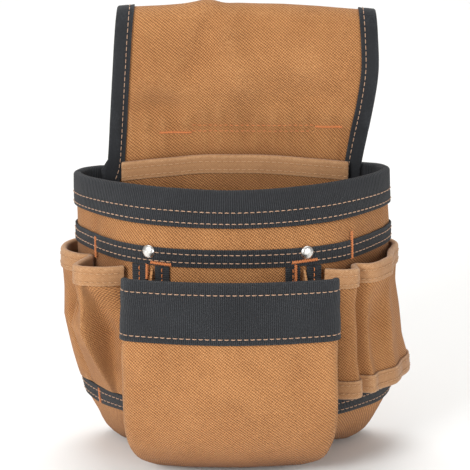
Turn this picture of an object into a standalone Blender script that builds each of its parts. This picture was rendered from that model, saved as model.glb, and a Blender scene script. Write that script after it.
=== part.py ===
# Belt-hung nail and tool pouch of canvas and webbing.
# Metres, +Z up. The origin is the middle of the belt tunnel, X runs to the right
# and -Y is the front. Every cloth piece is a surface given thickness by Solidify.

import math

import bmesh
import bpy
from mathutils import Vector

# Cloth thicknesses and the clearance between touching pieces
CANVAS = 0.0016
WEBBING = 0.0014
TAPE = 0.0012
GAP = 0.0004

# Belt tunnel: the back panel folded over at the top and sewn down behind
TUNNEL_RISE = 0.049
TUNNEL_DROP = 0.048
TUNNEL_SWELL = 0.0085
REAR_PLY_TAIL = 0.007
REAR_PLY_GAP = 0.0008
FOLD_END_DROP = 0.0055
PANEL_BOW = 0.004
SIDE_ROOM = 0.0041
SIDE_TAPE_WIDTH = 0.0112

# Main bag
MOUTH_Z = -0.078
BAG_HEIGHT = 0.200
BAG_HALF_WIDTH = 0.120
BAG_DEPTH = 0.104
BAG_REAR_Y = 0.0034
FLANGE_WIDTH = 0.011
MOUTH_LIFT = 0.0035
PANEL_FOOT_SHARE = 0.93
REAR_WINDOW_SHARE = 0.915
CORNER_SAG = 0.006

# Seams of the bag: the side seams as a share of the way from the middle of the front
# to the rear corner, the bottom seam as a share of the height, and half a seam's gap
SIDE_SEAM_ALONG = 0.39
CORNER_ALONG = 0.72
BOTTOM_SEAM_DROP = 0.83
SEAM_STEP = 0.001

# Webbing on the bag
RIM_WIDTH = 0.0220
RIM_SLACK = 0.0005
BAND_WIDTH = 0.013
UPPER_BAND_Z = -0.1145
LOWER_BAND_Z = -0.235
SEAM_TAPE_WIDTH = 0.0105
SEAM_TAPE_LEFT_X = (-0.0672, -0.0508)
SEAM_TAPE_RIGHT_X = (0.0430, 0.0583)

# Front pocket
FRONT_TOP_Z = -0.1305
FRONT_HEIGHT = 0.1495
FRONT_HALF_WIDTH = 0.0772
FRONT_DEPTH = 0.047
FRONT_CENTRE_X = -0.002
FRONT_ROOT_CENTRE_X = -0.0035
FRONT_ROOT_SPREAD = 0.0555
FRONT_ROOT_GAP = 0.0013
FRONT_SEAM_RISE = 0.016
FRONT_GUSSET_PINCH = 0.004
FRONT_WEBBING_WIDTH = 0.043
FRONT_FOLD_INSIDE = 0.016
GUSSET_STEPS = 3

# Inner pocket on the back panel
INNER_TOP_Z = -0.0655
INNER_HEIGHT = 0.080
INNER_HALF_WIDTH = 0.0795
INNER_SWELL = 0.0085
INNER_TAPE_WIDTH = 0.0125
INNER_SAG = 0.008

# Side pockets
SIDE_TOP_Z = -0.1325
SIDE_TAPE_FOLD = 0.0125
SIDE_TAPE_SHARE = 0.14
SLEEVE_HEIGHT = 0.0975
LEFT_SWELL = 0.032
RIGHT_SWELL = 0.019

# Rivets
RIVET_RADIUS = 0.005
RIVET_HEIGHT = 0.0024
RIVET_Z = -0.118
RIVET_LEFT_X = -0.0603
RIVET_RIGHT_X = 0.053

# Plan of the bag from the middle of the front round to the rear corner, as shares
# of the half width and depth: at the mouth, and at the belly
# share of the way, mouth x, mouth y, belly x, belly y
BAG_PLAN = [
    (-0.130, -0.17, 0.975, -0.20, 0.990),
    (0.000, 0.00, 1.000, 0.00, 1.000),
    (0.130, 0.17, 0.975, 0.20, 0.990),
    (0.260, 0.35, 0.905, 0.40, 0.945),
    (0.410, 0.56, 0.790, 0.62, 0.835),
    (0.545, 0.73, 0.655, 0.77, 0.675),
    (0.677, 0.87, 0.505, 0.89, 0.485),
    (0.783, 0.96, 0.365, 0.97, 0.320),
    (0.860, 1.00, 0.225, 1.00, 0.180),
    (0.932, 0.955, 0.085, 0.955, 0.065),
    (1.000, 0.86, 0.000, 0.86, 0.000),
]

# Levels of the bag, from the mouth down
# drop, half width, depth, belly share, sideways shift, lift share, sag share
BAG_LEVELS = [
    (0.000, 0.975, 0.80, 0.00, -0.010, 1.00, 0.0),
    (0.060, 0.977, 0.89, 0.35, -0.008, 0.75, 0.0),
    (0.125, 0.980, 0.96, 0.75, -0.004, 0.35, 0.0),
    (0.210, 0.984, 1.00, 1.00, 0.000, 0.00, 0.0),
    (0.400, 0.990, 0.99, 1.00, 0.000, 0.00, 0.0),
    (0.600, 1.000, 0.97, 1.00, 0.010, 0.00, 0.0),
    (0.760, 0.995, 0.95, 1.00, 0.028, 0.00, 0.05),
    (0.850, 0.965, 0.92, 1.00, 0.035, 0.00, 0.35),
    (0.920, 0.905, 0.86, 1.00, 0.035, 0.00, 0.80),
    (0.970, 0.860, 0.79, 1.00, 0.025, 0.00, 1.00),
    (1.000, 0.800, 0.72, 1.00, 0.015, 0.00, 1.00),
]
BAG_ROW_DROPS = [0.0, 0.032, 0.0635, 0.095, 0.127, 0.1825, 0.2475, 0.400, 0.600, 0.766, 0.830, 0.880, 0.920,
                 0.950, 0.980, 1.0]

# Side edges of the back panel from the mouth up to the fold, as shares of its
# edges at the mouth: share of the rise, left share, right share
PANEL_SIDES = [
    (0.00, 0.962, 1.000),
    (0.10, 0.952, 1.020),
    (0.26, 0.938, 1.060),
    (0.46, 0.920, 1.100),
    (0.65, 0.903, 1.125),
    (0.85, 0.885, 1.115),
    (1.00, 0.868, 1.100),
]

# Front pocket levels from its mouth down: drop, half width, depth, root spread
FRONT_LEVELS = [
    (0.00, 0.985, 0.93, 1.00),
    (0.30, 1.000, 1.00, 1.00),
    (0.60, 1.010, 0.97, 1.00),
    (0.80, 0.985, 0.88, 0.97),
    (0.90, 0.930, 0.76, 0.90),
    (0.96, 0.850, 0.63, 0.80),
    (1.00, 0.720, 0.46, 0.70),
]
FRONT_ROW_DROPS = [0.0, 0.107, 0.214, 0.321, 0.50, 0.68, 0.80, 0.89, 0.95, 1.0]

# Plan of the front pocket from its middle to its corner: x share, depth share
FRONT_FACE = [(0.0, 1.0), (0.24, 0.985), (0.48, 0.94), (0.70, 0.87), (0.90, 0.795), (0.98, 0.73),
              (1.0, 0.64)]

# Bays of the side pockets along the bag, as shares of the pocket's swell
# share along the bag, swell at the mouth, swell half way, swell at the foot
LEFT_BAYS = [
    (0.435, 0.00, 0.00, 0.00),
    (0.455, 0.22, 0.00, 0.00),
    (0.480, 0.42, 0.01, 0.00),
    (0.508, 0.58, 0.03, 0.00),
    (0.540, 0.72, 0.76, 0.06),
    (0.575, 0.71, 0.64, 0.06),
    (0.610, 0.40, 0.58, 0.04),
    (0.650, 0.05, 0.56, 0.03),
    (0.684, 0.18, 0.48, 0.02),
    (0.716, 0.26, 0.03, 0.00),
    (0.740, 0.30, 0.10, 0.03),
    (0.770, 0.32, 0.30, 0.06),
    (0.805, 0.28, 0.34, 0.06),
    (0.850, 0.16, 0.20, 0.04),
    (0.885, 0.06, 0.07, 0.02),
    (0.915, 0.00, 0.00, 0.00),
]
RIGHT_BAYS = [
    (0.358, 0.00, 0.00, 0.00),
    (0.380, 0.20, 0.18, 0.22),
    (0.405, 0.44, 0.40, 0.44),
    (0.432, 0.58, 0.56, 0.60),
    (0.460, 0.56, 0.58, 0.60),
    (0.492, 0.14, 0.12, 0.14),
    (0.530, 0.52, 0.46, 0.56),
    (0.572, 0.64, 0.30, 0.50),
    (0.620, 0.62, 0.40, 0.60),
    (0.668, 0.58, 0.62, 0.66),
    (0.710, 0.38, 0.52, 0.60),
    (0.755, 0.18, 0.34, 0.48),
    (0.800, 0.12, 0.30, 0.50),
    (0.845, 0.10, 0.26, 0.44),
    (0.885, 0.04, 0.12, 0.20),
    (0.915, 0.00, 0.00, 0.00),
]

# Colour, roughness and metallic of each material
FINISHES = {
    "tan_canvas": ((0.50, 0.25, 0.095, 1.0), 0.88, 0.0),
    "tan_tape": ((0.55, 0.32, 0.165, 1.0), 0.82, 0.0),
    "black_webbing": ((0.028, 0.032, 0.038, 1.0), 0.78, 0.0),
    "nickel": ((0.80, 0.79, 0.77, 1.0), 0.22, 1.0),
}


def spline(rows, at):
    # Smooth curve through the rows of a table, read at a value of its first column
    last = len(rows) - 1
    k = 0
    while k < last - 1 and at > rows[k + 1][0]:
        k += 1
    a, b = rows[k], rows[k + 1]
    if at < a[0]:
        return [a[c] + (b[c] - a[c]) * (at - a[0]) / (b[0] - a[0]) for c in range(1, len(a))]
    before = rows[max(k - 1, 0)]
    after = rows[min(k + 2, last)]
    span = b[0] - a[0]
    t = min((at - a[0]) / span, 1.0)
    out = []
    for c in range(1, len(a)):
        slope_a = (b[c] - before[c]) / (b[0] - before[0]) * span
        slope_b = (after[c] - a[c]) / (after[0] - a[0]) * span
        out.append((2 * t**3 - 3 * t**2 + 1) * a[c] + (t**3 - 2 * t**2 + t) * slope_a
                   + (3 * t**2 - 2 * t**3) * b[c] + (t**3 - t**2) * slope_b)
    return out


def offset_line(points, distance):
    # Parallel copy of a line of 2D points; for a plan line that runs from left to
    # right in front of the bag, a positive distance goes outwards
    distances = distance if isinstance(distance, list) else [distance] * len(points)
    normals = []
    for a, b in zip(points, points[1:]):
        edge = (b - a).normalized()
        normals.append(Vector((edge.y, -edge.x)))
    moved = []
    for i, point in enumerate(points):
        n1 = normals[max(i - 1, 0)]
        n2 = normals[min(i, len(normals) - 1)]
        mitre = (n1 + n2).normalized()
        moved.append(point + mitre * (distances[i] / max(mitre.dot(n1), 0.45)))
    return moved


def mix(a, b, share):
    return a + (b - a) * share


def panel_bow(x):
    return -PANEL_BOW * (x / BAG_HALF_WIDTH) ** 2


def bag_level(z):
    return spline(BAG_LEVELS, (MOUTH_Z - z) / BAG_HEIGHT)


def bag_plan(along, z):
    width, depth, belly, shift, _, _ = bag_level(z)
    mouth_x, mouth_y, belly_x, belly_y = spline(BAG_PLAN, abs(along))
    side = -1.0 if along < 0 else 1.0
    half = BAG_HALF_WIDTH * width
    x = side * half * mix(mouth_x, belly_x, belly) + BAG_HALF_WIDTH * shift
    corner_y = BAG_REAR_Y + panel_bow(half * BAG_PLAN[-1][1])
    y = corner_y - BAG_DEPTH * depth * mix(mouth_y, belly_y, belly)
    return Vector((x, y))


def bag_height(along, x, z):
    # Mouth lifted a little on the right, corners of the bottom hanging a little
    _, _, _, _, lift, sag = bag_level(z)
    raised = MOUTH_LIFT * lift * max(0.0, x / BAG_HALF_WIDTH) ** 2
    hang = CORNER_SAG * sag * math.exp(-((abs(along) - 0.72) / 0.16) ** 2)
    return z + raised - hang


def along_at(x, z):
    # Place along the front of the bag where it reaches the given x
    low, high = (-0.86, 0.0) if x < 0 else (0.0, 0.86)
    for _ in range(30):
        middle = (low + high) / 2
        if bag_plan(middle, z).x < x:
            low = middle
        else:
            high = middle
    return (low + high) / 2


def bag_columns():
    # Even steps over the front and the sides, closer ones round the rear corners
    stops = [(0.0, SIDE_SEAM_ALONG, 4), (SIDE_SEAM_ALONG, CORNER_ALONG, 4), (CORNER_ALONG, 1.0, 6)]
    half = [mix(start, end, k / steps) for start, end, steps in stops for k in range(steps)] + [1.0]
    return [-s for s in reversed(half[1:])] + half


def bag_lean(along, z):
    # How far the wall goes outwards for each metre down, square to its plan
    step = 0.002
    ahead = bag_plan(along + step, z) - bag_plan(along - step, z)
    normal = Vector((ahead.y, -ahead.x)).normalized()
    return (bag_plan(along, z - step) - bag_plan(along, z + step)).dot(normal) / (2 * step)


def bag_line(columns, z, out):
    # Points of one level, a given distance square out from the bag's outer face
    leans = [bag_lean(s, z) for s in columns]
    flat = [out / math.sqrt(1.0 + lean**2) for lean in leans]
    plan = offset_line([bag_plan(s, z) for s in columns], flat)
    points = []
    for s, p, lean, distance in zip(columns, plan, leans, flat):
        points.append(Vector((p.x, p.y, bag_height(s, p.x, z) + lean * distance)))
    return points


def make_material(name):
    color, roughness, metallic = FINISHES[name]
    material = bpy.data.materials.new(name)
    material.use_nodes = True
    shader = material.node_tree.nodes["Principled BSDF"]
    shader.inputs["Base Color"].default_value = color
    shader.inputs["Roughness"].default_value = roughness
    shader.inputs["Metallic"].default_value = metallic
    material.diffuse_color = color
    return material


def add_object(name, mesh, material_name):
    thing = bpy.data.objects.new(name, mesh)
    material = make_material(material_name)
    material.name = name + "_" + material_name
    mesh.materials.append(material)
    collection.objects.link(thing)
    return thing


def thicken(thing, thickness):
    solidify = thing.modifiers.new("thickness", "SOLIDIFY")
    solidify.thickness = thickness
    solidify.offset = -1.0
    solidify.use_even_offset = True
    solidify.use_quality_normals = True


def cloth(name, rows, thickness, material_name):
    # A sheet: rows of points from the top down, each from left to right, on the outer face
    mesh = bpy.data.meshes.new(name)
    bm = bmesh.new()
    grid = [[bm.verts.new(p) for p in row] for row in rows]
    for upper, lower in zip(grid, grid[1:]):
        for i in range(len(upper) - 1):
            bm.faces.new((upper[i], lower[i], lower[i + 1], upper[i + 1]))
    for face in bm.faces:
        face.smooth = True
    bm.to_mesh(mesh)
    bm.free()
    thing = add_object(name, mesh, material_name)
    thicken(thing, thickness)
    return thing


def fold_rows(wall, tape, drops, slack=0.0):
    # Cross-section of a tape folded over an edge: how far below the edge, and how
    # far outside the wall's outer face, from its inner end over to its outer end
    reach = GAP + tape + slack
    inner = [(drop, -(wall + reach)) for drop in reversed(drops)]
    outer = [(drop, reach) for drop in drops]
    return inner + [(-reach, -(wall + reach)), (-reach, reach)] + outer


def panel_edge(side, z):
    # X of the panel's side edge: inside the bag's rear corner below the mouth,
    # then by its own table up to the fold
    mouth_edge = bag_plan(side, MOUTH_Z).x - side * SIDE_ROOM
    if z <= MOUTH_Z:
        return bag_plan(side, z).x - side * SIDE_ROOM
    left, right = spline(PANEL_SIDES, (z - MOUTH_Z) / (TUNNEL_RISE - MOUTH_Z))
    return mouth_edge * (left if side < 0 else right)


def tunnel_face(share):
    # Distance of a ply's outer face from the middle of the tunnel
    flat = CANVAS + REAR_PLY_GAP / 2
    return mix(flat, TUNNEL_SWELL, math.sin(math.pi * min(share / 1.1, 0.5)) ** 0.8)


def panel_profile(spread):
    # Outer face of the panel from the end of the rear ply, up, over the fold and
    # down the front to the foot, as (y, z); the rear ply stands off by the spread
    shares = [0.0, 0.16, 0.34, 0.54, 0.76]
    radius = TUNNEL_SWELL
    start = TUNNEL_RISE - radius
    rear = [(tunnel_face(0.0) + spread, -TUNNEL_DROP - REAR_PLY_TAIL)]
    rear += [(tunnel_face(s) + spread, mix(-TUNNEL_DROP, start, s)) for s in shares]
    fold = []
    for k in range(7):
        angle = math.pi * k / 6
        y = radius * math.cos(angle) + spread * (1.0 - k / 6)
        fold.append((y, start + radius * math.sin(angle)))
    front = [(-tunnel_face(s), mix(-TUNNEL_DROP, start, s)) for s in reversed(shares)]
    foot = MOUTH_Z - BAG_HEIGHT * PANEL_FOOT_SHARE
    steps = 6
    straight = [(-tunnel_face(0.0), mix(MOUTH_Z, foot, k / steps)) for k in range(steps + 1)]
    return [Vector(p) for p in rear + fold + front + [(-tunnel_face(0.0), MOUTH_Z + 0.012)] + straight]


def panel_column(side, inset, share, out):
    # One column of points on the panel: a given distance in from a side edge, then a
    # share of the way to the middle, and a given distance outside its outer face
    spread = max(1.0 - share / 0.10, 0.0) * (2 * TAPE + 4 * GAP - REAR_PLY_GAP)
    points = []
    for p in offset_line(panel_profile(spread), out):
        lean = (panel_edge(side, p.y + 0.002) - panel_edge(side, p.y - 0.002)) / 0.004
        x = (panel_edge(side, p.y) - side * inset * math.sqrt(1.0 + lean**2)) * (1.0 - share)
        rise = min(max((p.y + TUNNEL_DROP) / (2 * TUNNEL_DROP), 0.0), 1.0)
        droop = FOLD_END_DROP * (x / (BAG_HALF_WIDTH * BAG_PLAN[-1][1])) ** 2 * rise
        points.append(Vector((x, p.x + panel_bow(x), p.y - droop)))
    return points


def build_back_panel():
    places = [(0.0, 0.0), (SIDE_TAPE_WIDTH, 0.0)]
    places += [(SIDE_TAPE_WIDTH, share) for share in (0.10, 0.32, 0.55, 0.78)]
    left = [panel_column(-1.0, inset, share, 0.0) for inset, share in places]
    right = [panel_column(1.0, inset, share, 0.0) for inset, share in places]
    middle = [(a + b) / 2 for a, b in zip(left[-1], right[-1])]
    columns = left + [middle] + right[::-1]
    cloth("back_panel", list(zip(*columns)), CANVAS, "tan_canvas")


def build_back_bindings():
    reach = GAP + TAPE
    behind = -(CANVAS + reach)
    for side, name in ((-1.0, "back_binding_left"), (1.0, "back_binding_right")):
        places = [(SIDE_TAPE_WIDTH, behind), (-reach, behind), (-reach, reach), (SIDE_TAPE_WIDTH, reach)]
        columns = [panel_column(side, inset, 0.0, out) for inset, out in places]
        if side > 0:
            columns.reverse()
        cloth(name, list(zip(*columns)), TAPE, "black_webbing")


def flange_line(corner, z, inward):
    # Rear flange at one level, from its inner edge out towards the rear corner
    points = []
    for share in (1.0, 0.5):
        x = corner.x + inward * FLANGE_WIDTH * share
        points.append(Vector((x, BAG_REAR_Y + panel_bow(x), bag_height(1.0, x, z))))
    return points


def wall_row(columns, z):
    # Outer face of the bag at one level, with the flange where it reaches a rear corner
    row = bag_line(columns, z, 0.0)
    left, right = row[0], row[-1]
    if columns[0] == -1.0:
        row = flange_line(left, z, 1.0) + row
    if columns[-1] == 1.0:
        row = row + flange_line(right, z, -1.0)[::-1]
    return row


def build_pouch_walls():
    columns = bag_columns()
    inner = SIDE_SEAM_ALONG - SEAM_STEP
    outer = SIDE_SEAM_ALONG + SEAM_STEP
    parts = {
        "pouch_side_left": [s for s in columns if s < -outer] + [-outer],
        "pouch_front": [-inner] + [s for s in columns if abs(s) < inner] + [inner],
        "pouch_side_right": [outer] + [s for s in columns if s > outer],
    }
    drops = [drop for drop in BAG_ROW_DROPS if drop < BOTTOM_SEAM_DROP] + [BOTTOM_SEAM_DROP - SEAM_STEP]
    for name, part in parts.items():
        rows = [wall_row(part, MOUTH_Z - BAG_HEIGHT * drop) for drop in drops]
        cloth(name, rows, CANVAS, "tan_canvas")


def build_pouch_bottom():
    # Below the bottom seam: the wall drawn in, the bottom and a strip up the rear
    columns = bag_columns()
    drops = [BOTTOM_SEAM_DROP + SEAM_STEP] + [drop for drop in BAG_ROW_DROPS if drop > BOTTOM_SEAM_DROP]
    mesh = bpy.data.meshes.new("pouch_bottom")
    bm = bmesh.new()
    wall = []
    rear = []
    for drop in drops:
        z = MOUTH_Z - BAG_HEIGHT * drop
        row = [bm.verts.new(p) for p in wall_row(columns, z)]
        wall.append(row)
        if drop < REAR_WINDOW_SHARE:
            continue
        steps = len(columns) - 5
        between = []
        for k in range(1, steps):
            x = mix(row[0].co.x, row[-1].co.x, k / steps)
            between.append(bm.verts.new((x, BAG_REAR_Y + panel_bow(x), bag_height(1.0, x, z))))
        rear.append([row[0]] + between + [row[-1]])
    for upper, lower in zip(wall, wall[1:]):
        for i in range(len(upper) - 1):
            bm.faces.new((upper[i], lower[i], lower[i + 1], upper[i + 1]))
    for upper, lower in zip(rear, rear[1:]):
        for i in range(len(upper) - 1):
            bm.faces.new((upper[i + 1], lower[i + 1], lower[i], upper[i]))
    front = wall[-1][2:-2]
    back = wall[-1][2:0:-1] + rear[-1] + wall[-1][-2:-4:-1]
    for i in range(len(front) - 1):
        corners = [front[i], back[i], back[i + 1], front[i + 1]]
        bm.faces.new(list(dict.fromkeys(corners)))
    for face in bm.faces:
        face.smooth = True
    bm.to_mesh(mesh)
    bm.free()
    thicken(add_object("pouch_bottom", mesh, "tan_canvas"), CANVAS)


def build_rim_binding():
    columns = [s for s in bag_columns() if abs(s) < 0.98]
    drops = [RIM_WIDTH * k / 4 for k in range(5)]
    rows = []
    for drop, out in fold_rows(CANVAS, WEBBING, drops, RIM_SLACK):
        rows.append(bag_line(columns, MOUTH_Z - drop, out))
    cloth("rim_binding", rows, WEBBING, "black_webbing")


def build_bands():
    reach = GAP + WEBBING
    columns = bag_columns()
    rows = [bag_line(columns, UPPER_BAND_Z - BAND_WIDTH * k, reach) for k in range(2)]
    cloth("band_upper", rows, WEBBING, "black_webbing")
    root_left, root_right = front_roots(0.75)
    clear = 3 * GAP + CANVAS + WEBBING
    end_left = along_at(root_left.x - clear, LOWER_BAND_Z)
    end_right = along_at(root_right.x + clear, LOWER_BAND_Z)
    left = [s for s in columns if s < end_left - 0.01] + [end_left]
    right = [end_right] + [s for s in columns if s > end_right + 0.01]
    for name, part in (("band_lower_left", left), ("band_lower_right", right)):
        rows = [bag_line(part, LOWER_BAND_Z - BAND_WIDTH * k, reach) for k in range(2)]
        cloth(name, rows, WEBBING, "black_webbing")


def build_seam_tapes():
    top = UPPER_BAND_Z - BAND_WIDTH - GAP
    foot = LOWER_BAND_Z + GAP
    names = {
        "tape_left_outer": SEAM_TAPE_LEFT_X[0],
        "tape_left_inner": SEAM_TAPE_LEFT_X[1],
        "tape_right_inner": SEAM_TAPE_RIGHT_X[0],
        "tape_right_outer": SEAM_TAPE_RIGHT_X[1],
    }
    for name, x in names.items():
        rows = []
        for k in range(4):
            z = mix(top, foot, k / 3)
            columns = [along_at(x + SEAM_TAPE_WIDTH * s, z) for s in (-0.5, 0.0, 0.5)]
            rows.append(bag_line(columns, z, GAP + WEBBING))
        cloth(name, rows, WEBBING, "black_webbing")


def inner_line(drop, out):
    # A level of the inner pocket's outer face; it stands off the panel by the tape's
    # room at its mouth and lies on it at its sides and foot
    share = min(max(drop / INNER_HEIGHT, 0.0), 1.0)
    tape_room = 2 * GAP + TAPE
    lying = min(max((drop - INNER_TAPE_WIDTH) / INNER_TAPE_WIDTH, 0.0), 1.0)
    room = mix(tape_room, GAP, lying)
    plan = []
    for k in range(-5, 6):
        x = INNER_HALF_WIDTH * k / 5
        swell = INNER_SWELL * (1.0 - (k / 5) ** 2) * (1.0 - share) ** 0.8
        face = tunnel_face(0.0) + room + CANVAS + swell
        plan.append(Vector((x, panel_bow(x) - face)))
    points = []
    for p in offset_line(plan, out):
        sag = INNER_SAG * (p.x / INNER_HALF_WIDTH) ** 2
        points.append(Vector((p.x, p.y, INNER_TOP_Z - sag - drop)))
    return points


def build_inner_pocket():
    drops = [0.0, INNER_TAPE_WIDTH, INNER_TAPE_WIDTH * 1.5, INNER_TAPE_WIDTH * 2]
    drops += [mix(INNER_TAPE_WIDTH * 2, INNER_HEIGHT, k / 3) for k in (1, 2, 3)]
    cloth("inner_pocket", [inner_line(drop, 0.0) for drop in drops], CANVAS, "tan_canvas")
    rows = [inner_line(drop, out) for drop, out in fold_rows(CANVAS, TAPE, drops[:2])]
    cloth("inner_pocket_binding", rows, TAPE, "tan_tape")


def front_roots(share):
    # Where the front pocket's gussets meet the bag
    spread = FRONT_ROOT_SPREAD * spline(FRONT_LEVELS, share)[2]
    z = FRONT_TOP_Z - share * (FRONT_HEIGHT - FRONT_SEAM_RISE)
    roots = []
    for side in (-1.0, 1.0):
        along = along_at(FRONT_ROOT_CENTRE_X + side * spread, z)
        roots.append(bag_line([along - 0.01, along, along + 0.01], z, FRONT_ROOT_GAP)[1])
    return roots


def front_line(share, out):
    # A level of the front pocket: left gusset, face and right gusset
    width, depth, _ = spline(FRONT_LEVELS, share)
    left, right = front_roots(share)
    base_y = (left.y + right.y) / 2
    z = FRONT_TOP_Z - share * FRONT_HEIGHT
    face = [(-x, y) for x, y in reversed(FRONT_FACE)] + FRONT_FACE[1:]
    front = []
    for x_share, y_share in face:
        x = FRONT_CENTRE_X + FRONT_HALF_WIDTH * width * x_share
        front.append(Vector((x, base_y - FRONT_DEPTH * depth * y_share, z)))
    pinch = FRONT_GUSSET_PINCH * depth
    left_gusset = []
    right_gusset = []
    for k in range(GUSSET_STEPS):
        share_out = k / GUSSET_STEPS
        bend = pinch * math.sin(math.pi * share_out)
        left_gusset.append(left.lerp(front[0], share_out) + Vector((bend, 0.0, 0.0)))
        right_gusset.append(right.lerp(front[-1], share_out) - Vector((bend, 0.0, 0.0)))
    line = left_gusset + front + right_gusset[::-1]
    moved = offset_line([Vector((p.x, p.y)) for p in line], out)
    return [Vector((m.x, m.y, p.z)) for m, p in zip(moved, line)]


def build_front_pocket():
    rows = [front_line(share, 0.0) for share in FRONT_ROW_DROPS]
    last = rows[-1]
    seam_z = last[0].z
    start = along_at(last[0].x, seam_z)
    end = along_at(last[-1].x, seam_z)
    steps = len(last) - 1
    columns = [mix(start, end, k / steps) for k in range(steps + 1)]
    seam = bag_line(columns, seam_z, FRONT_ROOT_GAP)
    middle = [a.lerp(b, 0.5) for a, b in zip(last, seam)]
    for row in (middle, seam):
        row[0] = last[0].copy()
        row[-1] = last[-1].copy()
    pocket = cloth("front_pocket", rows + [middle, seam], CANVAS, "tan_canvas")
    bm = bmesh.new()
    bm.from_mesh(pocket.data)
    bmesh.ops.remove_doubles(bm, verts=bm.verts, dist=0.00005)
    bm.to_mesh(pocket.data)
    bm.free()


def build_front_binding():
    # A short fold inside the pocket and the whole width of the webbing outside it,
    # on the face only, clear of the gussets and the corners
    inside = fold_rows(CANVAS, WEBBING, [0.0, FRONT_FOLD_INSIDE])[:-2]
    outside = [(FRONT_WEBBING_WIDTH * k / 3, GAP + WEBBING) for k in range(4)]
    clear = GUSSET_STEPS + 1
    rows = []
    for drop, out in inside + outside:
        line = front_line(max(drop, 0.0) / FRONT_HEIGHT, out)[clear:-clear]
        rise = Vector((0.0, 0.0, max(-drop, 0.0)))
        rows.append([p + rise for p in line])
    cloth("front_pocket_binding", rows, WEBBING, "black_webbing")


def bay_line(bays, side, share, z, out, open_foot):
    # A level of a side pocket: the bag's plan with each bay's swell added
    swell_size = LEFT_SWELL if side < 0 else RIGHT_SWELL
    low, high = min(b[0] for b in bays), max(b[0] for b in bays)
    own = {b[0] for b in bays}
    shared = {s for s in bag_columns() if low < s < high and min(abs(s - o) for o in own) > 0.008}
    table = sorted(bays)
    room = 3 * GAP + TAPE
    near_mouth = min(max((SIDE_TAPE_SHARE * 2 - share) / SIDE_TAPE_SHARE, 0.0), 1.0)
    near_foot = min(max((share - 1.0 + SIDE_TAPE_SHARE * 2) / SIDE_TAPE_SHARE, 0.0), 1.0)
    taped = max(near_mouth, near_foot if open_foot else 0.0)
    base = CANVAS + mix(GAP, room, taped)
    plan = []
    for s in sorted(own | shared):
        k = max(i for i, b in enumerate(table[:-1]) if b[0] <= s)
        a, b = table[k], table[k + 1]
        t = (s - a[0]) / (b[0] - a[0])
        mouth, half, foot = (mix(a[c], b[c], t) for c in (1, 2, 3))
        falling = max(share - SIDE_TAPE_SHARE, 0.0) / (0.5 - SIDE_TAPE_SHARE)
        swell = mix(mouth, half, falling) if share < 0.5 else mix(half, foot, share * 2 - 1)
        here = bag_plan(side * s, z)
        ahead = bag_plan(side * s + 0.004, z) - bag_plan(side * s - 0.004, z)
        normal = Vector((ahead.y, -ahead.x)).normalized()
        plan.append(here + normal * (base + swell * swell_size))
    if side < 0:
        plan.reverse()
    return [Vector((p.x, p.y, z)) for p in offset_line(plan, out)]


def build_side_pocket(name, bays, side, height, open_foot):
    def level(drop, out):
        share = min(max(drop / height, 0.0), 1.0)
        return bay_line(bays, side, share, SIDE_TOP_Z - drop, out, open_foot)

    folded = [0.0, SIDE_TAPE_FOLD]
    drops = folded + [mix(SIDE_TAPE_FOLD, height - SIDE_TAPE_FOLD, k / 4) for k in range(1, 5)]
    drops += [height]
    cloth(name, [level(drop, 0.0) for drop in drops], CANVAS, "tan_canvas")
    profile = fold_rows(CANVAS, TAPE, folded)
    cloth(name + "_top_binding", [level(d, out) for d, out in profile], TAPE, "tan_tape")
    if open_foot:
        rows = [level(height - d, out) for d, out in reversed(profile)]
        cloth(name + "_bottom_binding", rows, TAPE, "tan_tape")


def build_rivets():
    for name, x in (("rivet_left", RIVET_LEFT_X), ("rivet_right", RIVET_RIGHT_X)):
        mesh = bpy.data.meshes.new(name)
        bm = bmesh.new()
        outline = [(0.0, 1.0), (0.45, 0.94), (0.78, 0.72), (0.96, 0.40), (1.0, 0.15), (0.97, 0.0), (0.0, 0.0)]
        verts = [bm.verts.new((RIVET_RADIUS * r, 0.0, RIVET_HEIGHT * h)) for r, h in outline]
        for a, b in zip(verts, verts[1:]):
            bm.edges.new((a, b))
        bm.to_mesh(mesh)
        bm.free()
        rivet = add_object(name, mesh, "nickel")
        # On the flat of the band that carries it
        line = bag_line(bag_columns(), RIVET_Z, 2 * GAP + WEBBING)
        k = max(i for i, p in enumerate(line) if p.x <= x)
        across = line[k + 1] - line[k]
        out = Vector((across.y, -across.x, 0.0)).normalized()
        rivet.location = line[k] + across * ((x - line[k].x) / across.x)
        rivet.rotation_euler = out.to_track_quat("Z", "Y").to_euler()
        screw = rivet.modifiers.new("turn", "SCREW")
        screw.steps = 20
        screw.render_steps = 20
        screw.use_merge_vertices = True
        screw.merge_threshold = 0.00002
        screw.use_smooth_shade = True


for old in list(bpy.data.objects):
    bpy.data.objects.remove(old, do_unlink=True)
collection = bpy.data.collections.new("nail_pouch")
bpy.context.scene.collection.children.link(collection)

build_back_panel()
build_back_bindings()
build_pouch_walls()
build_pouch_bottom()
build_rim_binding()
build_bands()
build_seam_tapes()
build_inner_pocket()
build_front_pocket()
build_front_binding()
build_side_pocket("left_tool_pocket", LEFT_BAYS, -1.0, SIDE_TOP_Z - LOWER_BAND_Z - GAP, False)
build_side_pocket("right_tool_sleeve", RIGHT_BAYS, 1.0, SLEEVE_HEIGHT, True)
build_rivets()
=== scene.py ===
# Belt-hung canvas nail and tool pouch: finished surfaces, stitches, camera and light
import math
import bmesh
import bpy
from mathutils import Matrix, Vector, noise


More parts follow.
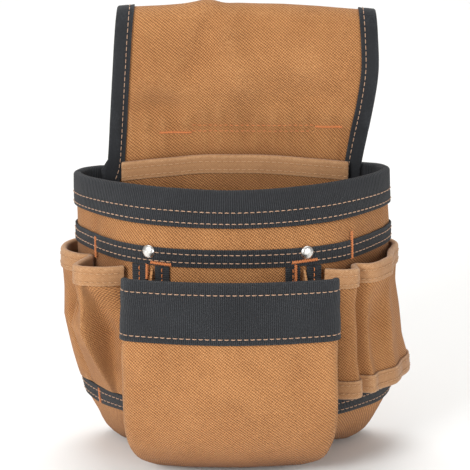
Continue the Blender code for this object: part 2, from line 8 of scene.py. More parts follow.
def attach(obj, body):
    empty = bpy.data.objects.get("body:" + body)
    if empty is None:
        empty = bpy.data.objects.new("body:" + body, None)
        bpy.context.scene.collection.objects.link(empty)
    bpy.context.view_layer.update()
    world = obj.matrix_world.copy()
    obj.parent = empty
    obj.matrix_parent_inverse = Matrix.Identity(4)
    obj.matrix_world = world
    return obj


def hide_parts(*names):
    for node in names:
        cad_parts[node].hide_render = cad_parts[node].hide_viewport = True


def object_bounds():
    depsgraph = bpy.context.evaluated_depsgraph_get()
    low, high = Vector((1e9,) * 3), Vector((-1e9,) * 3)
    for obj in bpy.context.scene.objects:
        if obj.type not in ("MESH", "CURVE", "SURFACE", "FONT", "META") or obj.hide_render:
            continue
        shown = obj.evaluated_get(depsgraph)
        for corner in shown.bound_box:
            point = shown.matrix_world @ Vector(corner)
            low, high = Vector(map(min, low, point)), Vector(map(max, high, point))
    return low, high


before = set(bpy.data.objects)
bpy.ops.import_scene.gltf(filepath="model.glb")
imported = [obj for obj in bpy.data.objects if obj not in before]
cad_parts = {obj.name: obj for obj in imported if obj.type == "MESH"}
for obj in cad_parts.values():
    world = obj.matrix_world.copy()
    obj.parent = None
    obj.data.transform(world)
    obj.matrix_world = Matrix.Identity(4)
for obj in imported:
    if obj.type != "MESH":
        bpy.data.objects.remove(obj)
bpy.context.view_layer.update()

scene = bpy.context.scene

cloth = {
    "canvas": 0.0016,
    "webbing": 0.0014,
    "tape": 0.0012,
    "gap": 0.0004,
}
webbingFace = cloth["gap"] + cloth["webbing"]
tapeFace = cloth["gap"] + cloth["tape"]

bag = {
    "mouthZ": -0.078,
    "height": 0.200,
    "halfWidth": 0.120,
    "depth": 0.104,
    "rearY": 0.0034,
    "flange": 0.011,
    "lift": 0.0035,
    "sag": 0.006,
    "bow": 0.004,
    "windowShare": 0.915,
    "wrinkle": 0.0011,
    "pucker": 0.00035,
    "footDip": 0.004,
    # share of the way round, mouth x, mouth y, belly x, belly y
    "plan": [
        (-0.130, -0.17, 0.975, -0.20, 0.990),
        (0.000, 0.00, 1.000, 0.00, 1.000),
        (0.130, 0.17, 0.975, 0.20, 0.990),
        (0.260, 0.35, 0.905, 0.40, 0.945),
        (0.410, 0.56, 0.790, 0.62, 0.835),
        (0.545, 0.73, 0.655, 0.77, 0.675),
        (0.677, 0.87, 0.505, 0.89, 0.485),
        (0.783, 0.96, 0.365, 0.97, 0.320),
        (0.860, 1.00, 0.225, 1.00, 0.180),
        (0.932, 0.955, 0.085, 0.955, 0.065),
        (1.000, 0.86, 0.000, 0.86, 0.000),
    ],
    # drop, half width, depth, belly share, sideways shift, lift share, sag share
    "levels": [
        (0.000, 0.975, 0.80, 0.00, -0.010, 1.00, 0.0),
        (0.060, 0.977, 0.89, 0.35, -0.008, 0.75, 0.0),
        (0.125, 0.980, 0.96, 0.75, -0.004, 0.35, 0.0),
        (0.210, 0.984, 1.00, 1.00, 0.000, 0.00, 0.0),
        (0.400, 0.990, 0.99, 1.00, 0.000, 0.00, 0.0),
        (0.600, 1.000, 0.97, 1.00, 0.010, 0.00, 0.0),
        (0.760, 0.995, 0.95, 1.00, 0.028, 0.00, 0.05),
        (0.850, 0.965, 0.92, 1.00, 0.035, 0.00, 0.35),
        (0.920, 0.905, 0.86, 1.00, 0.035, 0.00, 0.80),
        (0.970, 0.860, 0.79, 1.00, 0.025, 0.00, 1.00),
        (1.000, 0.800, 0.72, 1.00, 0.015, 0.00, 1.00),
    ],
}


def mix(a, b, share):
    return a + (b - a) * share


def clamp(value):
    return min(max(value, 0.0), 1.0)


def ease(value):
    t = clamp(value)
    return t * t * (3 - 2 * t)


def hump(value, centre, width):
    return math.exp(-((value - centre) / width) ** 2)


def spline(rows, at):  # smooth curve through a table, read by its first column
    last = len(rows) - 1
    k = 0
    while k < last - 1 and at > rows[k + 1][0]:
        k += 1
    a, b = rows[k], rows[k + 1]
    if at < a[0]:
        return [a[c] + (b[c] - a[c]) * (at - a[0]) / (b[0] - a[0]) for c in range(1, len(a))]
    before = rows[max(k - 1, 0)]
    after = rows[min(k + 2, last)]
    span = b[0] - a[0]
    t = min((at - a[0]) / span, 1.0)
    out = []
    for c in range(1, len(a)):
        slopeA = (b[c] - before[c]) / (b[0] - before[0]) * span
        slopeB = (after[c] - a[c]) / (after[0] - a[0]) * span
        out.append((2 * t**3 - 3 * t**2 + 1) * a[c] + (t**3 - 2 * t**2 + t) * slopeA
                   + (3 * t**2 - 2 * t**3) * b[c] + (t**3 - t**2) * slopeB)
    return out


def offsetLine(points, distance):  # parallel copy of a 2D line, outwards if positive
    distances = distance if isinstance(distance, list) else [distance] * len(points)
    normals = []
    for a, b in zip(points, points[1:]):
        edge = (b - a).normalized()
        normals.append(Vector((edge.y, -edge.x)))
    moved = []
    for i, point in enumerate(points):
        n1 = normals[max(i - 1, 0)]
        n2 = normals[min(i, len(normals) - 1)]
        mitre = (n1 + n2).normalized()
        moved.append(point + mitre * (distances[i] / max(mitre.dot(n1), 0.6)))
    return moved


def pathLengths(points, least=0.0):  # distance from the first point to each point
    lengths = [0.0]
    for a, b in zip(points, points[1:]):
        lengths.append(lengths[-1] + max((b - a).length, least))
    return lengths


def resample(points, count):  # smooth curve through points, in even steps
    lengths = pathLengths(points, 1e-6)
    rows = [(s, *p) for s, p in zip(lengths, points)]
    return [Vector(spline(rows, lengths[-1] * k / (count - 1))) for k in range(count)]


def softNoise(x, y, z, size):  # smooth random field, from about -1 to 1
    return noise.noise(Vector((x / size, y / size, z / size)))


def panelBow(x):
    return -bag["bow"] * (x / bag["halfWidth"]) ** 2


def bagPlan(along, z):
    width, depth, belly, shift, _, _ = spline(bag["levels"], (bag["mouthZ"] - z) / bag["height"])
    mouthX, mouthY, bellyX, bellyY = spline(bag["plan"], min(abs(along), 1.0))
    side = -1.0 if along < 0 else 1.0
    half = bag["halfWidth"] * width
    x = side * half * mix(mouthX, bellyX, belly) + bag["halfWidth"] * shift
    cornerY = bag["rearY"] + panelBow(half * bag["plan"][-1][1])
    return Vector((x, cornerY - bag["depth"] * depth * mix(mouthY, bellyY, belly)))


def bagHeight(along, x, z):
    _, _, _, _, lift, sag = spline(bag["levels"], (bag["mouthZ"] - z) / bag["height"])
    raised = bag["lift"] * lift * max(0.0, x / bag["halfWidth"]) ** 2
    return z + raised - bag["sag"] * sag * hump(abs(along), 0.72, 0.16)


def bagLean(along, z):
    step = 0.002
    ahead = bagPlan(along + step, z) - bagPlan(along - step, z)
    normal = Vector((ahead.y, -ahead.x)).normalized()
    return (bagPlan(along, z - step) - bagPlan(along, z + step)).dot(normal) / (2 * step)


def bagWrinkle(along, p, z):  # dents and soft folds of the bag, nil at its bands and rear edges
    free = ease((1.0 - abs(along)) / 0.15)
    wide = softNoise(p.x, p.y, z, 0.045) + 0.5 * softNoise(p.x + 3, p.y, z * 0.5, 0.021)
    drop = bag["mouthZ"] - z
    lower = ease((drop - 0.06) / 0.05)
    pucker = math.sin(along * 61.0 + 2.0 * softNoise(along, 0.3, 0.7, 0.11)) * hump(drop, 0.034, 0.010)
    return free * (bag["wrinkle"] * wide * mix(0.35, 1.0, lower) + bag["pucker"] * pucker)


def bagLine(columns, z, out, wrap=0.0):  # wrap carries the line on along the rear flange
    leans = [bagLean(s, z) for s in columns]
    base = [bagPlan(s, z) for s in columns]
    if wrap:
        left = [base[0] + Vector((wrap * share, 0)) for share in (1.0, 0.5)]
        right = [base[-1] - Vector((wrap * share, 0)) for share in (0.5, 1.0)]
        base = left + base + right
        leans = [0.0, 0.0] + leans + [0.0, 0.0]
        columns = [columns[0]] * 2 + list(columns) + [columns[-1]] * 2
    flat = []
    for s, p, lean in zip(columns, base, leans):
        flat.append((out + bagWrinkle(s, p, z)) / math.sqrt(1.0 + lean**2))
    plan = offsetLine(base, flat)
    return [Vector((p.x, p.y, bagHeight(s, p.x, z) + lean * d))
            for s, p, lean, d in zip(columns, plan, leans, flat)]


def bagPoint(along, z, out):
    return bagLine([along - 0.01, along, along + 0.01], z, out)[1]


def alongAt(x, z):  # place round the front of the bag that reaches the given x
    low, high = (-0.86, 0.0) if x < 0 else (0.0, 0.86)
    for _ in range(30):
        middle = (low + high) / 2
        if bagPlan(middle, z).x < x:
            low = middle
        else:
            high = middle
    return (low + high) / 2


def evenSteps(start, end, count):
    return [mix(start, end, k / (count - 1)) for k in range(count)]


def newObject(name, data):
    made = bpy.data.objects.new(name, data)
    scene.collection.objects.link(made)
    return made


def finishMesh(name, bm, material):
    mesh = bpy.data.meshes.new(name)
    bm.to_mesh(mesh)
    bm.free()
    mesh.materials.append(material)
    mesh.shade_smooth()
    piece = newObject(name, mesh)
    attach(piece, "root")
    return piece


def sheet(name, rows, thickness, material, skip=None, turn=0.0):
    # Grid of points from the top down and left to right on the outer face, with the
    # cloth's own metres as its UV map, given thickness inwards
    bm = bmesh.new()
    uvLayer = bm.loops.layers.uv.new("UVMap")
    grid = [[bm.verts.new(p) for p in row] for row in rows]
    middle = rows[len(rows) // 2]
    across = pathLengths(middle)
    centre = len(middle) // 2
    down = pathLengths([row[centre] for row in rows])
    for r in range(len(rows) - 1):
        for i in range(len(middle) - 1):
            if skip and skip(r, i):
                continue
            spots = ((r, i), (r + 1, i), (r + 1, i + 1), (r, i + 1))
            face = bm.faces.new([grid[a][b] for a, b in spots])
            for loop, (a, b) in zip(face.loops, spots):
                u, v = across[b], down[a]
                loop[uvLayer].uv = (u * math.cos(turn) - v * math.sin(turn),
                                    u * math.sin(turn) + v * math.cos(turn))
    loose = [v for v in bm.verts if not v.link_faces]
    bmesh.ops.delete(bm, geom=loose, context="VERTS")
    piece = finishMesh(name, bm, material)
    solidify = piece.modifiers.new("thickness", "SOLIDIFY")
    solidify.thickness = thickness
    solidify.offset = -1.0
    solidify.use_quality_normals = True
    bevel = piece.modifiers.new("softEdge", "BEVEL")
    bevel.width = thickness * 0.3
    bevel.segments = 2
    bevel.limit_method = "ANGLE"
    bevel.angle_limit = math.radians(60)
    return piece


def foldProfile(wall, tape, drops, groove, slack=0.0):
    # Section of a tape folded over an edge: drop below the edge and distance outside
    # the wall, from its inner end over a round top to its outer end
    reach = cloth["gap"] + tape + slack
    radius = wall / 2 + reach

    def pressed(drop):
        return sum(0.0003 * hump(drop, at, 0.0011) for at in groove)

    inner = [(drop, -(wall + reach) + pressed(drop)) for drop in reversed(drops)]
    arc = []
    for k in range(1, 8):
        angle = math.pi * k / 8
        arc.append((-radius * 0.8 * math.sin(angle), -wall / 2 - radius * math.cos(angle)))
    outer = [(drop, reach - pressed(drop)) for drop in drops]
    return inner + arc + outer


def put(tree, value, target):
    if isinstance(value, bpy.types.NodeSocket):
        tree.links.new(value, target)
    else:
        target.default_value = value


def calc(tree, operation, *values):
    node = tree.nodes.new("ShaderNodeMath")
    node.operation = operation
    for k, value in enumerate(values):
        put(tree, value, node.inputs[k])
    return node.outputs[0]


def noiseField(tree, vector, scale, detail=3.0, rough=0.55):
    node = tree.nodes.new("ShaderNodeTexNoise")
    put(tree, vector, node.inputs["Vector"])
    node.inputs["Scale"].default_value = scale
    node.inputs["Detail"].default_value = detail
    node.inputs["Roughness"].default_value = rough
    return node.outputs["Fac"]


def blendColor(tree, share, a, b):
    node = tree.nodes.new("ShaderNodeMix")
    node.data_type = "RGBA"
    put(tree, share, node.inputs[0])
    put(tree, a, node.inputs[6])
    put(tree, b, node.inputs[7])
    return node.outputs[2]


def spread(tree, value, low, high):  # value from low..high to 0..1
    node = tree.nodes.new("ShaderNodeMapRange")
    put(tree, value, node.inputs["Value"])
    node.inputs["From Min"].default_value = low
    node.inputs["From Max"].default_value = high
    return node.outputs[0]


def newGroup(name, inputs, outputs):
    group = bpy.data.node_groups.new(name, "ShaderNodeTree")
    for label, kind, value in inputs:
        entry = group.interface.new_socket(label, in_out="INPUT", socket_type=kind)
        if value is not None:
            entry.default_value = value
    for label, kind in outputs:
        group.interface.new_socket(label, in_out="OUTPUT", socket_type=kind)
    return group, group.nodes.new("NodeGroupInput"), group.nodes.new("NodeGroupOutput")


def turns(group, value, pitch, shift=0.0):  # sine with one turn for each pitch, as 0..1
    angle = calc(group, "MULTIPLY", calc(group, "DIVIDE", value, pitch), 2 * math.pi)
    wave = calc(group, "SINE", calc(group, "ADD", angle, shift))
    return calc(group, "MULTIPLY_ADD", wave, 0.5, 0.5)


def makeTwillGroup():
    # Diagonal ridges of a twill, broken into threads, from a UV map in metres
    group, given, made = newGroup("twillWeave", [
        ("Vector", "NodeSocketVector", None),
        ("Pitch", "NodeSocketFloat", 0.0016),
        ("Angle", "NodeSocketFloat", 0.9),
    ], [("Height", "NodeSocketFloat"), ("Shade", "NodeSocketFloat")])
    split = group.nodes.new("ShaderNodeSeparateXYZ")
    put(group, given.outputs["Vector"], split.inputs[0])
    u, v = split.outputs[0], split.outputs[1]
    cosine = calc(group, "COSINE", given.outputs["Angle"])
    sine = calc(group, "SINE", given.outputs["Angle"])
    across = calc(group, "ADD", calc(group, "MULTIPLY", u, sine), calc(group, "MULTIPLY", v, cosine))
    along = calc(group, "SUBTRACT", calc(group, "MULTIPLY", u, cosine),
                 calc(group, "MULTIPLY", v, sine))
    wander = calc(group, "MULTIPLY", noiseField(group, given.outputs["Vector"], 150.0), 4.0)
    ridge = turns(group, across, given.outputs["Pitch"], wander)
    thread = turns(group, along, calc(group, "MULTIPLY", given.outputs["Pitch"], 0.8), wander)
    slub = noiseField(group, given.outputs["Vector"], 900.0, 2.0)
    height = calc(group, "MULTIPLY_ADD", thread, 0.42, calc(group, "MULTIPLY", ridge, 0.58))
    height = calc(group, "MULTIPLY_ADD", slub, 0.25, height)
    put(group, height, made.inputs["Height"])
    put(group, spread(group, height, 0.15, 1.0), made.inputs["Shade"])
    return group


def makeRibGroup():
    # Ribs that run across a webbing, with the small picks between them
    group, given, made = newGroup("ribWeave", [
        ("Vector", "NodeSocketVector", None),
        ("Pitch", "NodeSocketFloat", 0.0011),
    ], [("Height", "NodeSocketFloat"), ("Shade", "NodeSocketFloat")])
    split = group.nodes.new("ShaderNodeSeparateXYZ")
    put(group, given.outputs["Vector"], split.inputs[0])
    wander = calc(group, "MULTIPLY", noiseField(group, given.outputs["Vector"], 320.0), 2.6)
    rib = turns(group, split.outputs[0], given.outputs["Pitch"], wander)
    pick = turns(group, split.outputs[1], calc(group, "MULTIPLY", given.outputs["Pitch"], 0.7))
    height = calc(group, "MULTIPLY_ADD", pick, 0.22, calc(group, "MULTIPLY", rib, 0.7))
    put(group, height, made.inputs["Height"])
    put(group, spread(group, height, 0.15, 0.95), made.inputs["Shade"])
    return group


def makeToneGroup():
    # Uneven dye, rubbed pale spots, and painted shade: cloth darkened in folds, gaps and hollows by
    # ambient occlusion
    group, given, made = newGroup("clothTone", [
        ("Deep", "NodeSocketColor", None),
        ("Base", "NodeSocketColor", None),
        ("Pale", "NodeSocketColor", None),
        ("Weave", "NodeSocketFloat", 0.5),
        ("Contrast", "NodeSocketFloat", 1.0),
        ("PaintedShade", "NodeSocketFloat", 0.55),
    ], [("Color", "NodeSocketColor")])
    place = group.nodes.new("ShaderNodeTexCoord").outputs["Object"]
    patches = spread(group, noiseField(group, place, 26.0, 5.0), 0.32, 0.70)
    fleck = spread(group, noiseField(group, place, 700.0, 2.0), 0.35, 0.75)
    weave = calc(group, "MULTIPLY", given.outputs["Weave"], given.outputs["Contrast"])
    lifted = calc(group, "MULTIPLY_ADD", patches, 0.20, weave)
    lifted = calc(group, "MULTIPLY_ADD", fleck, 0.18, lifted)
    dark = blendColor(group, spread(group, lifted, 0.0, 0.95), given.outputs["Deep"],
                      given.outputs["Base"])
    edge = group.nodes.new("ShaderNodeNewGeometry").outputs["Pointiness"]
    rubbed = calc(group, "MULTIPLY", spread(group, edge, 0.50, 0.60), fleck)
    worn = calc(group, "MAXIMUM", rubbed, spread(group, lifted, 0.85, 1.5))
    cloth = blendColor(group, worn, dark, given.outputs["Pale"])
    # painted shade: colour blends towards the deep colour where ambient occlusion finds nearby cloth,
    # in folds, gaps and hollows
    depth = group.nodes.new("ShaderNodeAmbientOcclusion")
    depth.samples = 6
    depth.inputs["Distance"].default_value = 0.035
    hidden = spread(group, depth.outputs["AO"], 0.80, 0.10)
    paintedShade = calc(group, "MULTIPLY", hidden, given.outputs["PaintedShade"])
    put(group, blendColor(group, paintedShade, cloth, given.outputs["Deep"]), made.inputs["Color"])
    return group


twillWeave = makeTwillGroup()
ribWeave = makeRibGroup()
clothTone = makeToneGroup()


def useGroup(tree, group, **values):
    node = tree.nodes.new("ShaderNodeGroup")
    node.node_tree = group
    for label, value in values.items():
        put(tree, value, node.inputs[label])
    return node


def newMaterial(name):
    material = bpy.data.materials.new(name)
    material.use_nodes = True
    return material, material.node_tree, material.node_tree.nodes["Principled BSDF"]


def addBump(tree, shader, height, strength, distance):
    bump = tree.nodes.new("ShaderNodeBump")
    bump.inputs["Strength"].default_value = strength
    bump.inputs["Distance"].default_value = distance
    tree.links.new(height, bump.inputs["Height"])
    tree.links.new(bump.outputs["Normal"], shader.inputs["Normal"])


def clothMaterial(name, look):
    material, tree, shader = newMaterial(name)
    uv = tree.nodes.new("ShaderNodeTexCoord").outputs["UV"]
    weave = useGroup(tree, look["weave"], Vector=uv, Pitch=look["pitch"])
    if "angle" in look:
        weave.inputs["Angle"].default_value = look["angle"]
    tone = useGroup(tree, clothTone, Deep=look["deep"], Base=look["base"], Pale=look["pale"],
                    Weave=weave.outputs["Shade"], Contrast=look["contrast"])
    tree.links.new(tone.outputs["Color"], shader.inputs["Base Color"])
    addBump(tree, shader, weave.outputs["Height"], look["bump"], look["relief"])
    shader.inputs["Roughness"].default_value = look["roughness"]
    shader.inputs["Sheen Weight"].default_value = look["sheen"]
    shader.inputs["Sheen Roughness"].default_value = 0.5
    shader.inputs["Specular IOR Level"].default_value = 0.25
    return material


canvasLook = {
    "weave": twillWeave, "pitch": 0.0018, "angle": 2.45, "contrast": 0.82,
    "deep": (0.115, 0.036, 0.010, 1), "base": (0.56, 0.256, 0.092, 1), "pale": (0.66, 0.37, 0.17, 1),
    "bump": 1.0, "relief": 0.0007, "roughness": 0.92, "sheen": 0.08,
}
tapeLook = {
    "weave": twillWeave, "pitch": 0.0011, "angle": 0.7, "contrast": 0.6,
    "deep": (0.26, 0.120, 0.050, 1), "base": (0.53, 0.288, 0.135, 1), "pale": (0.66, 0.44, 0.26, 1),
    "bump": 0.35, "relief": 0.0003, "roughness": 0.9, "sheen": 0.2,
}
webbingLook = {
    "weave": ribWeave, "pitch": 0.0015, "contrast": 1.0,
    "deep": (0.008, 0.0085, 0.010, 1), "base": (0.030, 0.032, 0.036, 1),
    "pale": (0.065, 0.070, 0.078, 1),
    "bump": 1.0, "relief": 0.0008, "roughness": 0.8, "sheen": 0.08,
}
smoothLook = {**webbingLook, "pitch": 0.0007, "bump": 0.22, "contrast": 0.45}

canvas = clothMaterial("tanCanvas", canvasLook)
tanTape = clothMaterial("tanTape", tapeLook)
webbing = clothMaterial("blackWebbing", webbingLook)
blackTape = clothMaterial("blackTape", smoothLook)


def threadMaterial(name, deep, base, sheen):
    material, tree, shader = newMaterial(name)
    place = tree.nodes.new("ShaderNodeTexCoord").outputs["Object"]
    strands = noiseField(tree, place, 2600.0, 2.0)
    color = blendColor(tree, spread(tree, strands, 0.35, 0.65), deep, base)
    put(tree, color, shader.inputs["Base Color"])
    addBump(tree, shader, strands, 0.4, 0.0001)
    shader.inputs["Roughness"].default_value = 0.6
    shader.inputs["Sheen Weight"].default_value = sheen
    return material


paleThread = threadMaterial("paleThread", (0.34, 0.17, 0.09, 1), (0.58, 0.38, 0.25, 1), 0.3)
tanThread = threadMaterial("tanThread", (0.40, 0.20, 0.08, 1), (0.62, 0.37, 0.18, 1), 0.3)
orangeThread = threadMaterial("orangeThread", (0.40, 0.11, 0.022, 1), (0.74, 0.25, 0.07, 1), 0.2)
print("materials made")


def adopt(piece, slot, *nodes):
    if nodes:
        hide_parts(*nodes)


# The bag, its bottom and the strip up its rear, as one cloth
flange = bag["flange"]
columns = evenSteps(-1.0, 1.0, 141)


def rearPoint(x, z):
    return Vector((x, bag["rearY"] + panelBow(x), bagHeight(1.0, x, z)))


def bagRow(z):
    line = bagLine(columns, z, 0.0)
    left = [rearPoint(line[0].x + flange * share, z) for share in (1.0, 0.5)]
    right = [rearPoint(line[-1].x - flange * share, z) for share in (0.5, 1.0)]
    return left + line + right


wallSteps, footSteps, rearSteps = 60, 5, 4
rows = [bagRow(bag["mouthZ"] - bag["height"] * k / wallSteps) for k in range(wallSteps + 1)]
foot = rows[-1]
footZ = bag["mouthZ"] - bag["height"]


def rearRow(z):
    middle = len(foot) - 6
    wide = bagRow(z)
    xs = [mix(wide[0].x, wide[-1].x, k / (middle - 1)) for k in range(middle)]
    ends = bagLine([-1.0, 1.0], z, 0.0)
    inner = [rearPoint(x, z) for x in xs]
    return [foot[0], foot[1], ends[0], *inner, ends[1], foot[-2], foot[-1]]


back = rearRow(footZ)
for k in range(1, footSteps + 1):
    share = k / footSteps
    dip = Vector((0.0, 0.0, -bag["footDip"] * math.sin(math.pi * share)))
    rows.append([a.lerp(b, share) + dip for a, b in zip(foot, back)])
for k in range(1, rearSteps + 1):
    rows.append(rearRow(footZ + (1.0 - bag["windowShare"]) * bag["height"] * k / rearSteps))


def hiddenBagFace(r, i):
    last = len(foot) - 2
    if r >= wallSteps and (i < 2 or i > last - 2):
        return True
    return r >= wallSteps + footSteps and (i < 3 or i > last - 3)


bagCloth = sheet("bag_canvas", rows, cloth["canvas"], canvas, hiddenBagFace)
adopt(bagCloth, "tan_canvas", "pouch_front", "pouch_side_left", "pouch_side_right", "pouch_bottom")
print("bag made")

# Back panel, folded over at the top into the belt tunnel
panel = {
    "rise": 0.049, "drop": 0.048, "swell": 0.0085, "tail": 0.007, "plyGap": 0.0008,
    "endDroop": 0.0055, "sideRoom": 0.0041, "tapeWidth": 0.0112, "foot": 0.93,
    "dent": 0.0030, "tailRows": 2, "climbRows": 20, "foldRows": 11, "flatRows": 27,
    # depth of a dent, its middle in x, half width, its middle in z, half height
    "dents": [(0.0052, 0.050, 0.024, -0.022, 0.015), (0.0055, -0.055, 0.020, -0.030, 0.011)],
    # depth of a slanting fold, its slant, place in x, half width, height above which it starts
    "folds": [(-0.0045, 0.35, 0.004, 0.014, -0.03), (0.0036, -0.45, -0.030, 0.010, -0.02)],
    "pucker": 0.0009, "crease": (0.0030, 0.0835, 0.0022),
    "sides": [
        (0.00, 0.962, 1.000),
        (0.10, 0.952, 1.020),
        (0.26, 0.938, 1.060),
        (0.46, 0.920, 1.100),
        (0.65, 0.903, 1.125),
        (0.85, 0.885, 1.115),
        (1.00, 0.868, 1.100),
    ],
}


def panelEdge(side, z):
    if z <= bag["mouthZ"]:
        return bagPlan(side, z).x - side * panel["sideRoom"]
    left, right = spline(panel["sides"], (z - bag["mouthZ"]) / (panel["rise"] - bag["mouthZ"]))
    mouthEdge = bagPlan(side, bag["mouthZ"]).x - side * panel["sideRoom"]
    return mouthEdge * (left if side < 0 else right)


def tunnelFace(share):
    flat = cloth["canvas"] + panel["plyGap"] / 2
    return mix(flat, panel["swell"], math.sin(math.pi * min(share / 1.1, 0.5)) ** 0.8)


def panelProfile(gapBehind):
    radius = panel["swell"]
    start = panel["rise"] - radius
    low = -panel["drop"]
    climb = evenSteps(0.0, 0.97, panel["climbRows"])
    tails = [1.0 - k / panel["tailRows"] for k in range(panel["tailRows"])]
    rear = [(tunnelFace(0.0) + gapBehind, low - panel["tail"] * s) for s in tails]
    rear += [(tunnelFace(s) + gapBehind, mix(low, start, s)) for s in climb]
    fold = []
    for share in evenSteps(0.0, 1.0, panel["foldRows"]):
        angle = math.pi * share
        y = radius * math.cos(angle) + gapBehind * (1 - share)
        fold.append((y, start + radius * math.sin(angle)))
    front = [(-tunnelFace(s), mix(low, start, s)) for s in reversed(climb)]
    footAt = bag["mouthZ"] - bag["height"] * panel["foot"]
    straight = [(-tunnelFace(0.0), z) for z in evenSteps(low - 0.006, footAt, panel["flatRows"])]
    return [Vector(p) for p in rear + fold + front + straight]


def panelDent(x, z, front):
    # Soft dents of the flap, puckers at the tunnel's stitches, a crease on the right, folds
    broad = softNoise(x, 0.2 if front else 0.5, z, 0.05) + 0.5 * softNoise(x, 0.9, z, 0.022)
    size = panel["dent"] * (0.7 if z > -panel["drop"] else 0.35) * broad
    size *= 0.25 + 0.75 * ease((panel["rise"] - z) / 0.02)
    seam = hump(z, -panel["drop"] + 0.007, 0.010) + 0.8 * hump(z, -panel["drop"] - 0.010, 0.008)
    size += panel["pucker"] * seam * math.sin(x * 470 + 3 * softNoise(x, 0, 1.3, 0.03))
    depth, atX, width = panel["crease"]
    size -= depth * hump(x, atX + 0.04 * (z + 0.06), width) * ease((-0.045 - z) / 0.01)
    for depth, atX, width, atZ, height in panel["dents"]:
        size -= depth * hump(x, atX, width) * hump(z, atZ, height)
    for depth, slant, atX, width, low in panel["folds"]:
        size -= depth * hump(x + slant * z, atX, width) * ease((z - low) / 0.02)
    return size if z > bag["mouthZ"] - 0.02 else size * 0.3


def panelColumn(side, inset, share, out):
    room = 2 * cloth["tape"] + 4 * cloth["gap"] - panel["plyGap"]
    gapBehind = max(1.0 - share / 0.10, 0.0) * room
    profile = panelProfile(gapBehind)
    xs, offsets = [], []
    half = bag["halfWidth"] * bag["plan"][-1][1]
    for k, p in enumerate(profile):
        lean = (panelEdge(side, p.y + 0.002) - panelEdge(side, p.y - 0.002)) / 0.004
        x = (panelEdge(side, p.y) - side * inset * math.sqrt(1.0 + lean**2)) * (1.0 - share)
        xs.append(x)
        offsets.append(out + panelDent(x, p.y, p.x < 0))
    points = []
    for x, p in zip(xs, offsetLine(profile, offsets)):
        raised = clamp((p.y + panel["drop"]) / (2 * panel["drop"]))
        droop = panel["endDroop"] * (x / half) ** 2 * raised
        points.append(Vector((x, p.x + panelBow(x), p.y - droop)))
    return points


def acrossPanel(out, count=27):
    places = [(panel["tapeWidth"] * k / 4, 0.0) for k in range(4)]
    places += [(panel["tapeWidth"], share) for share in evenSteps(0.0, 1.0, count)]
    left = [panelColumn(-1.0, inset, share, out) for inset, share in places[:-1]]
    right = [panelColumn(1.0, inset, share, out) for inset, share in places]
    return [list(row) for row in zip(*(left + right[::-1]))]


panelRows = acrossPanel(0.0)
panelCloth = sheet("panel_canvas", panelRows, cloth["canvas"], canvas)
adopt(panelCloth, "tan_canvas", "back_panel")

edgeStitch = 0.0078
for side, name in ((-1.0, "left"), (1.0, "right")):
    width = panel["tapeWidth"]
    drops = [width * k / 8 for k in range(9)]
    profile = foldProfile(cloth["canvas"], cloth["tape"], drops, (edgeStitch,))
    cols = [panelColumn(side, inset, 0.0, out) for inset, out in profile]
    if side > 0:
        cols.reverse()
    edging = sheet("edge_tape_" + name, [list(row) for row in zip(*cols)], cloth["tape"], blackTape)
    adopt(edging, "black_webbing", "back_binding_" + name)
print("panel made")

# Webbing over the mouth and round the bag
rim = {"width": 0.0220, "slack": 0.0005, "stitches": (0.0125, 0.0196)}
band = {
    "width": 0.013, "upperZ": -0.1145, "lowerZ": -0.235, "stitches": (0.0036, 0.0094),
    "groove": 0.00035,
}
rimColumns = evenSteps(-1.0, 1.0, 161)
rimDrops = evenSteps(0.0, rim["width"], 14)
profile = foldProfile(cloth["canvas"], cloth["webbing"], rimDrops, rim["stitches"], rim["slack"])
rows = [bagLine(rimColumns, bag["mouthZ"] - drop, out, 0.007) for drop, out in profile]
adopt(sheet("rim_webbing", rows, cloth["webbing"], webbing), "black_webbing", "rim_binding")


def bandRows(cols, topZ):
    rows = []
    for drop in evenSteps(0.0, band["width"], 10):
        pressed = sum(band["groove"] * hump(drop, at, 0.0010) for at in band["stitches"])
        rows.append(bagLine(cols, topZ - drop, webbingFace - pressed))
    return rows


adopt(sheet("band_webbing_upper", bandRows(columns, band["upperZ"]), cloth["webbing"], webbing),
      "black_webbing", "band_upper")
print("rim and band made")

# Bellows pocket on the front, with wide webbing over its mouth
pocket = {
    "topZ": -0.1305, "height": 0.1495, "halfWidth": 0.0772, "depth": 0.047, "centreX": -0.0020,
    "rootX": -0.0035, "rootSpread": 0.0555, "rootGap": 0.0013, "seamRise": 0.016, "pinch": 0.004,
    "webbing": 0.0430, "inside": 0.016, "stitches": (0.0063, 0.0386), "wrinkle": 0.0012,
    "pucker": 0.00035, "dip": 0.015, "footDip": 0.0035, "corner": 0.0050, "rows": 46,
    # drop, half width, depth, root spread
    "levels": [
        (0.00, 0.985, 0.93, 1.00),
        (0.30, 1.000, 1.00, 1.00),
        (0.60, 1.010, 0.97, 1.00),
        (0.80, 0.985, 0.88, 0.97),
        (0.90, 0.930, 0.76, 0.90),
        (0.96, 0.850, 0.63, 0.80),
        (1.00, 0.720, 0.46, 0.70),
    ],
    "face": [(0.0, 1.0), (0.24, 0.985), (0.48, 0.94), (0.70, 0.87), (0.90, 0.795), (0.98, 0.73),
             (1.0, 0.64)],
}


def pocketRoots(share):
    spreadNow = pocket["rootSpread"] * spline(pocket["levels"], share)[2]
    z = pocket["topZ"] - share * (pocket["height"] - pocket["seamRise"])
    roots = []
    for side in (-1.0, 1.0):
        along = alongAt(pocket["rootX"] + side * spreadNow, z)
        roots.append(bagPoint(along, z, pocket["rootGap"]))
    return roots


def pocketWrinkle(x, z):
    drop = pocket["topZ"] - z
    below = ease((drop - pocket["webbing"]) / 0.012)
    field = softNoise(x, 2.0, z * 0.7, 0.038) + 0.4 * softNoise(x, 3.0, z, 0.017)
    pucker = math.sin(x * 520 + 4 * softNoise(x, 1.0, 0.0, 0.04))
    pucker *= hump(drop, pocket["webbing"] + 0.007, 0.006)
    return pocket["wrinkle"] * field * mix(0.25, 1.0, below) + pocket["pucker"] * pucker


